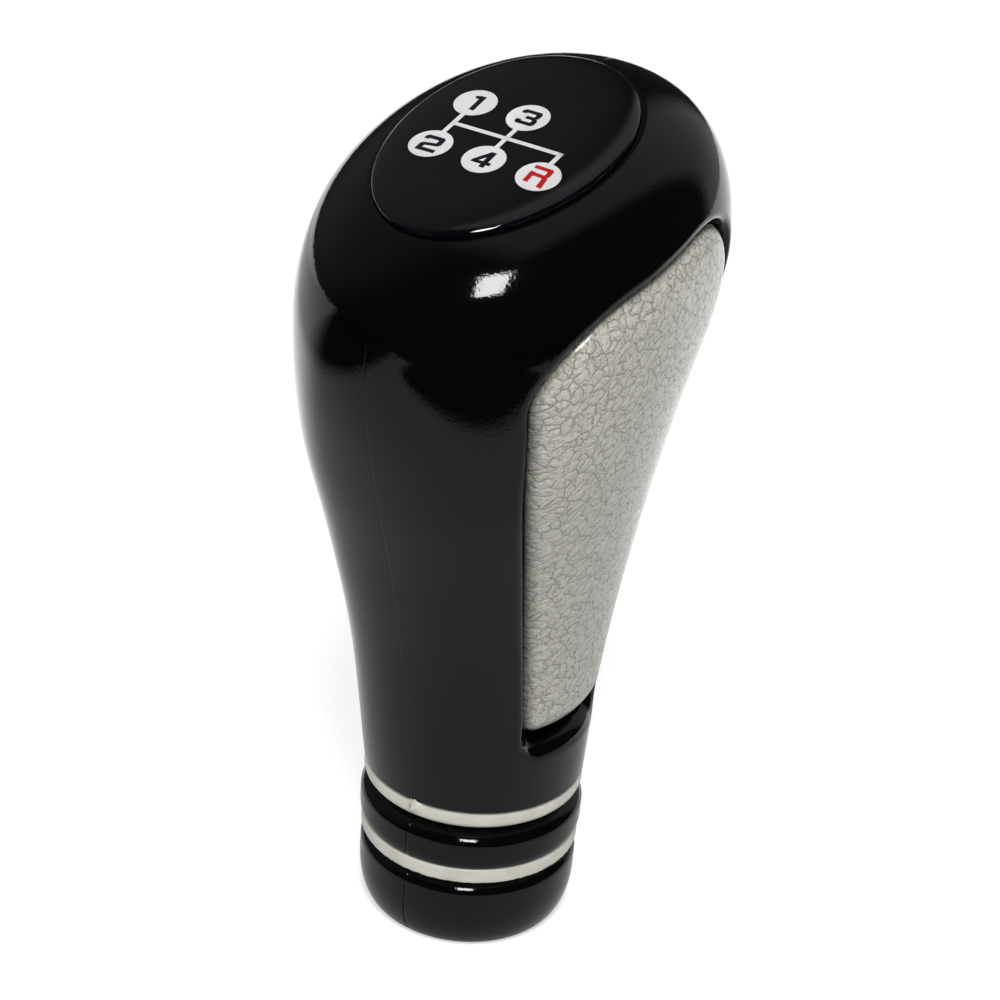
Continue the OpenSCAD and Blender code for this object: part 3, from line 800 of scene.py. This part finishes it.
def makeLeatherGrain():  # soft pebbles parted by thin creases that wander, branch and fade out
    group, given, end = newGroup("leatherGrain", {"Vector": (0, 0, 0), "Cells": 1.0}, ("Height", "Crease", "Mottle"))
    flatNoise = partial(noiseNode, group, noise_dimensions="2D")
    soft, join = partial(softRange, group), partial(mathNode, group)
    times = partial(join, "MULTIPLY")

    def cells(vector, scale, feature):
        values = {"Vector": vector, "Scale": scale}
        return addNode(group, "TexVoronoi", values, voronoi_dimensions="2D", feature=feature).outputs["Distance"]

    def vectorNode(operation, values):
        return addNode(group, "VectorMath", values, operation=operation).outputs[0]

    def moved(vector, scale, size):  # the coordinates pushed about by a noise
        values = {"Vector": vector, "Scale": scale, "Detail": 2.0}
        push = addNode(group, "TexNoise", values, noise_dimensions="2D").outputs["Color"]
        push = vectorNode("SUBTRACT", {0: push, 1: (0.5, 0.5, 0.5)})
        return vectorNode("ADD", {0: vector, 1: vectorNode("SCALE", {0: push, "Scale": size})})

    plain = vectorNode("SCALE", {0: given["Vector"], "Scale": given["Cells"]})
    bent = moved(moved(plain, 0.55, 1.1), 1.9, 0.42)
    crimped = moved(bent, 5.5, 0.14)
    bold = cells(crimped, 1.0, "DISTANCE_TO_EDGE")
    fine = cells(crimped, 2.1, "DISTANCE_TO_EDGE")
    flow = join("SUBTRACT", flatNoise(bent, 1.1, 1.0), 0.5)
    ridge = join("ABSOLUTE", flow, 0)
    boldKeep = soft(flatNoise(plain, 0.8, 2.0), 0.3, 0.5)
    fineKeep = soft(flatNoise(plain, 1.9, 1.0), 0.44, 0.6)
    flowKeep = soft(flatNoise(plain, 1.2, 1.0), 0.42, 0.56)

    def creases(boldWidth, fineWidth, flowWidth):
        lines = times(soft(bold, boldWidth, 0), boldKeep)
        for mask, width, keep, strength in ((fine, fineWidth, fineKeep, 0.55), (ridge, flowWidth, flowKeep, 0.4)):
            lines = join("MAXIMUM", lines, times(times(soft(mask, width, 0), keep), strength))
        return lines

    pits = soft(cells(bent, 2.9, "F1"), 0.26, 0.08)
    pitKeep = soft(flatNoise(plain, 2.2, 2.0), 0.46, 0.6)
    thin = join("MAXIMUM", creases(0.06, 0.09, 0.01), times(times(pits, pitKeep), 0.6))
    wide = creases(0.16, 0.2, 0.03)
    domes = join("ADD", times(soft(bold, 0, 0.4), 0.5), times(soft(fine, 0, 0.4), 0.2))
    pores = times(flatNoise(plain, 14.0, 2.0), 0.14)
    sunk = join("ADD", times(wide, 0.45), times(thin, 0.2))
    plug(group, end, {
        "Height": join("SUBTRACT", join("ADD", domes, pores), sunk),
        "Crease": thin,
        "Mottle": flatNoise(plain, 0.5, 5.0),
    })
    return group


leatherGrain = makeLeatherGrain()


def makeLeather(name, look):
    material, tree, shader = newMaterial(name, {
        "Base Color": look["colour"], "Roughness": look["roughness"], "IOR": 1.45,
        "Coat Weight": look["coat"], "Coat Roughness": look["coatRoughness"],
    })
    lean = addNode(tree, "Mapping", {
        "Vector": coordsOf(tree, "UV"),
        "Rotation": (0, 0, math.radians(look["turn"])),
        "Scale": (look["stretch"] * millimetre, millimetre, 1),
    }, vector_type="TEXTURE")
    grain = addNode(tree, "Group", node_tree=leatherGrain)
    plug(tree, grain, {"Vector": lean.outputs["Vector"], "Cells": look["cells"]})
    height, crease, mottle = (grain.outputs[key] for key in ("Height", "Crease", "Mottle"))
    # painted shade: the leather is darkened where it turns down beside the rim
    edge = addNode(tree, "Attribute", attribute_name="edge").outputs["Fac"]
    paintedEdgeShade = softRange(tree, edge, look["edgeShadeFrom"], 1, (0, look["edgeShadeMost"]))
    ground = mixColour(tree, mottle, look["colour"], look["pale"])
    creased = mixColour(tree, crease, ground, look["crease"])
    plug(tree, shader, {
        "Base Color": mixColour(tree, paintedEdgeShade, creased, look["edge"]),
        "Roughness": mapRange(tree, crease, 0, 1, (look["roughness"], look["creaseRoughness"])),
        "Normal": bumpNode(tree, height, look["depth"]),
    })
    return material


greyLeather = makeLeather("greyLeather", leatherLook)


def makePanel(name, look, mirrored, node):
    columns, rows = look["columns"], look["rows"]
    across, along = crowded(columns, 0.82), crowded(rows, 0.88)
    sides = recessSides(look["gap"], look["footGap"], along, (across, across))
    dense = recessSides(look["gap"], look["footGap"], even(300), (even(120), even(120)))
    outline = np.array([p for run in dense for p in run[:-1]])
    bm = bmesh.new()
    bmesh.ops.create_grid(bm, x_segments=columns, y_segments=rows, size=0.5)
    flat = bm.verts.layers.float_vector.new("flat")
    # how far each point lies into the turned-down edge; the material paints shade from this
    paintedEdgeShade = bm.verts.layers.float.new("edge")
    unwrapped = bm.loops.layers.uv.new("overPanel")
    for v in bm.verts:
        i = round((v.co.x + 0.5) * columns)
        j = round((v.co.y + 0.5) * rows)
        a, b = across[i], along[j]
        low, high = np.array(sides[0][i]), np.array(sides[2][columns - i])
        left, right = np.array(sides[3][rows - j]), np.array(sides[1][j])
        corners = ((1 - a) * (1 - b) * np.array(sides[0][0]) + a * (1 - b) * np.array(sides[0][-1])
                   + (1 - a) * b * np.array(sides[2][-1]) + a * b * np.array(sides[2][0]))
        s, y = ((1 - b) * low + b * high + (1 - a) * left + a * right - corners).tolist()
        edge = 0 if v.is_boundary else math.sqrt(((outline - (s, y)) ** 2).sum(1).min())
        u = 1 - min(edge / look["edgeWidth"], 1)
        drop = look["edgeDrop"] * mix(u ** 3, 1 - math.sqrt(max(1 - u * u, 0)), 0.6)
        v[flat] = (s, y, 0)
        v[paintedEdgeShade] = u
        v.co = onBody(s, y, drop - look["proud"])
    for v in newVerts(bmesh.ops.extrude_face_region(bm, geom=bm.faces[:], use_keep_orig=True)):
        s, y, _ = v[flat]
        v[paintedEdgeShade] = 1
        v.co = onBody(s, y, look["backInset"])
    for face in bm.faces:
        for loop in face.loops:
            s, y, _ = loop.vert[flat]
            loop[unwrapped].uv = (y * millimetre, s * millimetre)
    bm.verts.layers.float_vector.remove(flat)
    if mirrored:
        mirror(bm)
    return finish(bm, name, greyLeather, node)


rightPanel = makePanel("rightPanel", panel, False, "right_panel_skin")
makePanel("leftPanel", panel, True, "left_panel_skin")
print("stage: panels", len(rightPanel.data.polygons))


# the badge: plate, shift pattern, digits and clear cover
badgeLook = {
    "plateColour": (0.0022, 0.0016, 0.0032, 1),
    "plateRoughness": 0.3,
    "white": (0.94, 0.94, 0.935, 1),
    "ink": (0.006, 0.005, 0.01, 1),
    "red": (0.55, 0.012, 0.014, 1),
    "edgeSteps": 160,
    "coverFloor": 0.1,  # poured onto the print, so no air lies between them
    "coverSteps": 22,
    "coverSide": 0.6,
    "coverRise": 1.2,
    "printThick": 0.1,
    "fieldR": 2.5,
    "columnPitch": 7.1,
    "rowPitch": 8.8,
    "lineWidth": 0.55,
    "patternX": -0.1,
    "patternY": 0.4,
    "digitThick": 0.03,
}


def printMaterial(name, colour, roughness):
    material, tree, shader = newMaterial(name, {"IOR": 1.45, "Specular IOR Level": 0})
    mottle = noiseNode(tree, coordsOf(tree, "Object"), 1500.0, 3.0)
    darker = tuple(0.93 * c for c in colour[:3]) + (1,)
    plug(tree, shader, {
        "Base Color": mixColour(tree, mottle, colour, darker),
        "Roughness": mapRange(tree, mottle, 0, 1, (roughness - 0.04, roughness + 0.04)),
    })
    return material


badgeBlack = printMaterial("badgeBlack", badgeLook["plateColour"], badgeLook["plateRoughness"])
whitePrint = printMaterial("whitePrint", badgeLook["white"], 0.5)
darkInk = printMaterial("darkInk", badgeLook["ink"], 0.5)
redInk = printMaterial("redInk", badgeLook["red"], 0.5)

coverLook = {
    "roughness": 0.02,
    "ior": 1.45,
    "peelScale": 260.0,
    "peelFine": 0.05,
    "peelDepth": 0.0000006,
}


def makeClear(name, look):
    material, tree, shader = newMaterial(name, {
        "Base Color": (1, 1, 1, 1), "Roughness": look["roughness"], "IOR": look["ior"], "Transmission Weight": 1,
    })
    addPeel(tree, shader, look)
    return material


clearResin = makeClear("clearResin", coverLook)

plateTop = badge["plateThick"] - badge["seatDepth"]
printTop = plateTop + badgeLook["printThick"]


def badgeOutline(grow):
    steps = badgeLook["edgeSteps"]
    return [badgeEdge(2 * math.pi * i / steps, grow) for i in range(steps)]


def toBadge(bm):
    for v in bm.verts:
        v.co = badgePoint(*v.co)


def thicken(bm, height):
    pushed = bmesh.ops.extrude_face_region(bm, geom=bm.faces[:], use_keep_orig=True)
    bmesh.ops.translate(bm, vec=(0, 0, height), verts=newVerts(pushed))


def makePlate():
    bm = bmesh.new()
    loopOf(bm, [(x, y, -badge["seatDepth"] + 0.01) for x, y in badgeOutline(-badge["clear"])], cap_ends=True)
    thicken(bm, badge["plateThick"] - 0.01)
    toBadge(bm)
    finish(bm, "badgePlate", badgeBlack, "badge_plate", sharpAngle=30)


def makeCover():
    look = badgeLook
    steps = look["coverSteps"]
    bm = bmesh.new()
    outline = badgeOutline(-badge["clear"])
    floor = plateTop - look["coverFloor"]
    ring = loopOf(bm, [(x, y, floor) for x, y in outline])
    bmesh.ops.contextual_create(bm, geom=ring)
    side = printTop - floor + look["coverSide"]
    levels = [(1, side * 0.5), (1, side)]
    for k in range(1, steps):
        a = math.radians(90 * k / steps)
        share = math.cos(a)
        levels.append((share, side + look["coverRise"] * (1 - share ** 4) ** 0.5))
    order = ring[:]
    for share, height in levels:
        edges = [bm.edges.get((a, b)) for a, b in zip(order, order[1:] + order[:1])]
        fresh = set(newVerts(bmesh.ops.extrude_edge_only(bm, edges=edges)))
        order = [next(e.other_vert(v) for e in v.link_edges if e.other_vert(v) in fresh) for v in order]
        for v, (x, y) in zip(order, outline):
            v.co = (x * share, y * share, floor + height)
    bmesh.ops.pointmerge(bm, verts=order, merge_co=(0, 0, floor + side + look["coverRise"]))
    for face in bm.faces:  # the upright side is inked like the plate
        if len(face.verts) == 4 and max(v.co.z for v in face.verts) < floor + side + 0.001:
            face.material_index = 1
    toBadge(bm)
    cover = finish(bm, "badgeCover", clearResin, "badge_cover", sharpAngle=50)
    cover.data.materials.append(badgeBlack)


def fieldAt(column, row):
    look = badgeLook
    return look["patternX"] + column * look["columnPitch"], look["patternY"] + row * look["rowPitch"] / 2


def addBar(bm, a, b, width, bottom, thick):  # a flat bar from a to b, with square ends
    length = math.dist(a, b) + width
    turn = Matrix.Rotation(math.atan2(b[1] - a[1], b[0] - a[0]), 4, "Z")
    place = Matrix.Translation(((a[0] + b[0]) / 2, (a[1] + b[1]) / 2, bottom + thick / 2))
    bmesh.ops.create_cube(bm, size=1, matrix=place @ turn @ Matrix.Diagonal((length, width, thick, 1)))


fields = (("1", -1, 1, darkInk), ("2", -1, -1, darkInk), ("3", 0, 1, darkInk), ("4", 0, -1, darkInk),
          ("R", 1, -1, redInk))


def makePattern():
    look = badgeLook
    bm = bmesh.new()
    for label, column, row, ink in fields:
        middle = (*fieldAt(column, row), plateTop + look["printThick"] / 2)
        bmesh.ops.create_cone(bm, cap_ends=True, segments=72, radius1=look["fieldR"], radius2=look["fieldR"],
                              depth=look["printThick"], matrix=Matrix.Translation(middle))
    for a, b in (((-1, 1), (-1, -1)), ((0, 1), (0, -1)), ((-1, 0), (1, 0)), ((1, 0), (1, -1))):
        addBar(bm, fieldAt(*a), fieldAt(*b), look["lineWidth"], plateTop, look["printThick"] * 0.98)
    toBadge(bm)
    finish(bm, "shiftPattern", whitePrint, "shift_pattern", sharpAngle=30)


digitShapes = {  # outlines in mm round the field's middle; those after the first are holes
    "1": [
        [(-0.02, 1.4), (0.62, 1.4), (0.68, -1.46), (0.0, -1.46), (-0.04, 0.72), (-0.42, 0.72), (-0.66, 0.92),
         (-0.66, 1.2)],
    ],
    "2": [
        [(-1.32, 1.08), (-1.02, 1.4), (0.98, 1.4), (1.27, 1.1), (1.3, 0.06), (1.02, -0.26), (-0.42, -0.5),
         (-0.5, -0.6), (-0.5, -0.92), (1.32, -0.92), (1.32, -1.52), (-1.16, -1.52), (-1.16, -0.34),
         (-0.9, -0.06), (0.52, 0.2), (0.62, 0.3), (0.62, 0.7), (0.5, 0.8), (-0.7, 0.8), (-0.72, 0.62),
         (-1.32, 0.62)],
    ],
    "3": [
        [(-1.28, 1.1), (-1.0, 1.4), (0.98, 1.4), (1.27, 1.1), (1.27, 0.32), (1.08, 0.05), (1.38, -0.24),
         (1.38, -1.04), (1.08, -1.34), (-0.86, -1.34), (-1.14, -1.06), (-1.14, -0.56), (-0.52, -0.56),
         (-0.5, -0.76), (0.62, -0.76), (0.74, -0.64), (0.74, -0.36), (0.62, -0.24), (-0.3, -0.24), (-0.3, 0.3),
         (0.52, 0.3), (0.64, 0.4), (0.64, 0.7), (0.52, 0.82), (-0.64, 0.82), (-0.66, 0.64), (-1.28, 0.64)],
    ],
    "4": [
        [(0.1, 1.5), (0.78, 1.5), (0.82, -0.36), (1.26, -0.36), (1.3, -0.9), (0.84, -0.9), (0.86, -1.42),
         (0.2, -1.42), (0.18, -0.9), (-1.2, -0.9), (-1.2, -0.5)],
        [(0.14, 0.42), (-0.42, -0.36), (0.16, -0.36)],
    ],
    "R": [
        [(-1.3, 1.66), (0.86, 1.66), (1.14, 1.38), (1.2, 0.42), (1.0, 0.16), (1.2, -0.08), (1.42, -1.72),
         (0.74, -1.72), (0.6, -0.3), (0.44, -0.16), (-0.6, -0.16), (-0.52, -1.4), (-1.16, -1.4), (-1.24, 0.5),
         (-0.64, 0.5), (-0.62, 0.4), (0.42, 0.4), (0.56, 0.5), (0.54, 0.98), (0.4, 1.08), (-1.26, 1.08)],
    ],
}


def makeDigit(label, column, row, ink):
    bm = bmesh.new()
    for outline in digitShapes[label]:
        loopOf(bm, [(x, y, 0) for x, y in outline])
    bmesh.ops.triangle_fill(bm, use_beauty=True, use_dissolve=False, normal=(0, 0, 1), edges=bm.edges[:])
    thicken(bm, badgeLook["digitThick"])
    x, y = fieldAt(column, row)
    bmesh.ops.translate(bm, vec=(x, y, printTop - 0.02), verts=bm.verts)
    toBadge(bm)
    name = "digit" + label if label != "R" else "letterR"
    finish(bm, name, ink, sharpAngle=30)


makePlate()
makePattern()
for label, column, row, ink in fields:
    makeDigit(label, column, row, ink)
makeCover()
print("stage: badge")


# the CAD nodes that stay: insert, screws and panel plates
insertLook = {
    "colour": (0.62, 0.63, 0.65, 1), "metallic": 1, "roughness": (0.22, 0.4),
    "squeeze": (0.1, 0.1, 1), "grain": 2600.0, "detail": 3.0, "depth": 0.00001,
}
screwLook = {
    "colour": (0.36, 0.36, 0.37, 1), "metallic": 1, "roughness": (0.26, 0.44),
    "squeeze": (0.1, 0.1, 1), "grain": 4200.0, "detail": 3.0, "depth": 0.00001,
}
mattePlasticLook = {
    "colour": (0.02, 0.02, 0.022, 1), "metallic": 0, "roughness": (0.45, 0.65),
    "squeeze": (1, 1, 1), "grain": 2500.0, "detail": 2.0, "depth": 0.00002,
}


def makeWorked(name, look):  # turning marks on metal, or a fine grain on plastic
    material, tree, shader = newMaterial(name, {"Base Color": look["colour"], "Metallic": look["metallic"]})
    squeeze = addNode(tree, "Mapping", {"Vector": coordsOf(tree, "Object"), "Scale": look["squeeze"]})
    marks = noiseNode(tree, squeeze.outputs["Vector"], look["grain"], look["detail"])
    plug(tree, shader, {
        "Roughness": mapRange(tree, marks, 0, 1, look["roughness"]),
        "Normal": bumpNode(tree, marks, look["depth"]),
    })
    return material


keptNodes = {
    makeWorked("turnedAluminium", insertLook): ("lever_insert",),
    makeWorked("screwSteel", screwLook): ("left_grub_screw", "right_grub_screw",
                                          "low_body_screw", "rear_body_screw", "front_body_screw"),
    makeWorked("mattePlastic", mattePlasticLook): ("left_panel_plate", "right_panel_plate"),
}
for material, nodes in keptNodes.items():
    for node in nodes:
        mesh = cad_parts[node].data
        mesh.materials.clear()
        mesh.materials.append(material)
print("stage: kept nodes")


# floor, backdrop and light
studio = {
    "floorColour": (0.7, 0.7, 0.7, 1),
    "floorDark": (0.02, 0.02, 0.02, 1),
    "floorSize": 3.0,
    "floorGlow": 0.55,
    "floorBehind": 1.1,  # more of it in mirroring surfaces, where the sheet rises behind the object
    "darkSide": 147.8,  # the dark side of the room, in degrees from the front towards the right
    "bayDepth": 0.28,  # how far out the middle of the sheet's bay lies, metres
    "bayRadius": 0.145,
    "baySquash": 0.75,  # how much wider than deep the bay is
    "sheetDepth": 0.31,  # where the sheet ends on that side
    "sheetSide": 0.155,  # and to the left
    "sheetSlant": (0.05, 0.6),  # that edge slants in from this depth on, at this rate
    "sheetLeftEdge": (0.02, -0.03),
    "sheetStart": (-0.5, -0.4),
    "behindEdge": (-0.02, -0.12),
    "edgeSoft": 0.015,
    "bayEdge": (0.014, -0.012),
    "world": 0.7,
    "underCover": 12.0,  # makes up for the plain light that the clear cover keeps off the print
    "room": 0.04,  # what shiny surfaces see of the room overhead
    "backdrop": 0.6,
    "backdropSide": 8.0,  # degrees from the front
    "backdropEdge": (0.38, 0.2),
    "backdropEnd": (-0.3, -0.05),
    "window": (-88.0, 38.0, 0.18),  # a dim lit patch to the left: direction, height and strength
    "windowEdge": (0.62, 0.98),
}


def flatDirection(degrees):
    return Vector((math.sin(math.radians(degrees)), math.cos(math.radians(degrees)), 0))


def makeSheet(look):  # a white sheet; in mirroring surfaces it ends where the dark side of the room begins
    material, tree, shader = newMaterial("paleSheet", {
        "Base Color": look["floorColour"], "Roughness": 0.9, "Specular IOR Level": 0, "Emission Color": (1, 1, 1, 1),
    })
    path = addNode(tree, "LightPath").outputs
    join, soft = partial(mathNode, tree), partial(softRange, tree)
    along = partial(dotNode, tree, coordsOf(tree, "Object"))
    toward = flatDirection(look["darkSide"])
    depth = along(toward)
    side = along((-toward.y, toward.x, 0))
    across = join("MULTIPLY", side, look["baySquash"])
    short = join("MAXIMUM", join("SUBTRACT", look["bayDepth"], depth), 0)
    away = join("ADD", join("MULTIPLY", short, short), join("MULTIPLY", across, across))
    bay = soft(join("SQRT", away, 0), *(look["bayRadius"] + e for e in look["bayEdge"]))
    farSide = soft(depth, look["sheetDepth"] - look["edgeSoft"], look["sheetDepth"] + look["edgeSoft"])
    start, rate = look["sheetSlant"]
    slant = join("MAXIMUM", join("SUBTRACT", depth, start), 0)
    slanted = join("ADD", side, join("MULTIPLY", slant, rate))
    left = soft(slanted, *(e - look["sheetSide"] for e in look["sheetLeftEdge"]))
    left = join("MULTIPLY", left, soft(depth, *look["sheetStart"]))
    ended = join("MAXIMUM", join("MAXIMUM", bay, farSide), left)
    ended = join("MULTIPLY", ended, path["Is Glossy Ray"])
    shown = join("ADD", path["Is Camera Ray"], path["Is Transmission Ray"], True)
    behind = join("MULTIPLY", soft(depth, *look["behindEdge"]), path["Is Glossy Ray"])
    plug(tree, shader, {
        "Base Color": mixColour(tree, ended, look["floorColour"], look["floorDark"]),
        "Emission Strength": join("ADD", join("MULTIPLY", shown, look["floorGlow"]),
                                  join("MULTIPLY", behind, look["floorBehind"])),
    })
    return material


def makeFloor(look):
    bm = bmesh.new()
    bmesh.ops.create_grid(bm, x_segments=2, y_segments=2, size=look["floorSize"] / 2)
    floor = toObject(bm, "floor")
    floor.data.materials.append(makeSheet(look))


def makeWorld(look):
    world = bpy.data.worlds.new("studioWorld")
    bpy.context.scene.world = world
    world.use_nodes = True
    tree = world.node_tree
    tree.nodes.clear()
    path = addNode(tree, "LightPath").outputs
    join, soft = partial(mathNode, tree), partial(softRange, tree)
    along = partial(dotNode, tree, coordsOf(tree, "Generated"))

    def light(strength):
        return addNode(tree, "Background", {"Strength": strength}).outputs[0]

    def mixed(share, a, b):
        return addNode(tree, "MixShader", {0: share, 1: a, 2: b}).outputs[0]

    # what mirrors show: a dark room with a pale strip in front and a dim patch to the left
    ahead = flatDirection(look["backdropSide"])
    side = join("ABSOLUTE", along((ahead.y, -ahead.x, 0)), 0)
    strip = join("MULTIPLY", soft(side, *look["backdropEdge"]), soft(along(ahead), *look["backdropEnd"]))
    turn, height, strength = look["window"]
    height = math.radians(height)
    toWindow = flatDirection(turn) * math.cos(height) + Vector((0, 0, math.sin(height)))
    patch = soft(along(toWindow), *look["windowEdge"], (0, strength))
    room = join("ADD", mapRange(tree, strip, 0, 1, (look["room"], look["backdrop"])), patch)

    # what looks straight through the clear cover sees white, and what mirrors inside it sees the room
    unlit = join("SUBTRACT", 1.0, path["Diffuse Depth"], True)
    through = join("MULTIPLY", unlit, path["Is Transmission Ray"])
    inside = join("MULTIPLY", through, join("MINIMUM", path["Glossy Depth"], 1.0))
    gloss = join("ADD", path["Is Glossy Ray"], inside, True)
    shown = join("ADD", path["Is Camera Ray"], join("SUBTRACT", through, inside), True)
    under = join("MULTIPLY", path["Diffuse Depth"], path["Transmission Depth"], True)
    plain = join("ADD", join("MULTIPLY", under, look["underCover"]), look["world"])
    lit = mixed(gloss, light(plain), light(room))
    out = addNode(tree, "OutputWorld")
    plug(tree, out, {"Surface": mixed(shown, lit, light(1.0))})


def addLamp(name, place, aim, size, power):
    data = bpy.data.lights.new(name, "AREA")
    data.shape = "RECTANGLE"
    data.size, data.size_y = size
    data.energy = power
    lamp = bpy.data.objects.new(name, data)
    bpy.context.scene.collection.objects.link(lamp)
    lamp.location = place
    lamp.rotation_euler = (Vector(aim) - Vector(place)).to_track_quat("-Z", "Y").to_euler()


makeFloor(studio)
makeWorld(studio)
addLamp("keyLamp", (0.21, -0.31, 0.578), (0.01, -0.02, 0.094), (0.13, 0.18), 3.0)
bpy.context.scene.view_settings.view_transform = "Standard"
print("stage: studio")
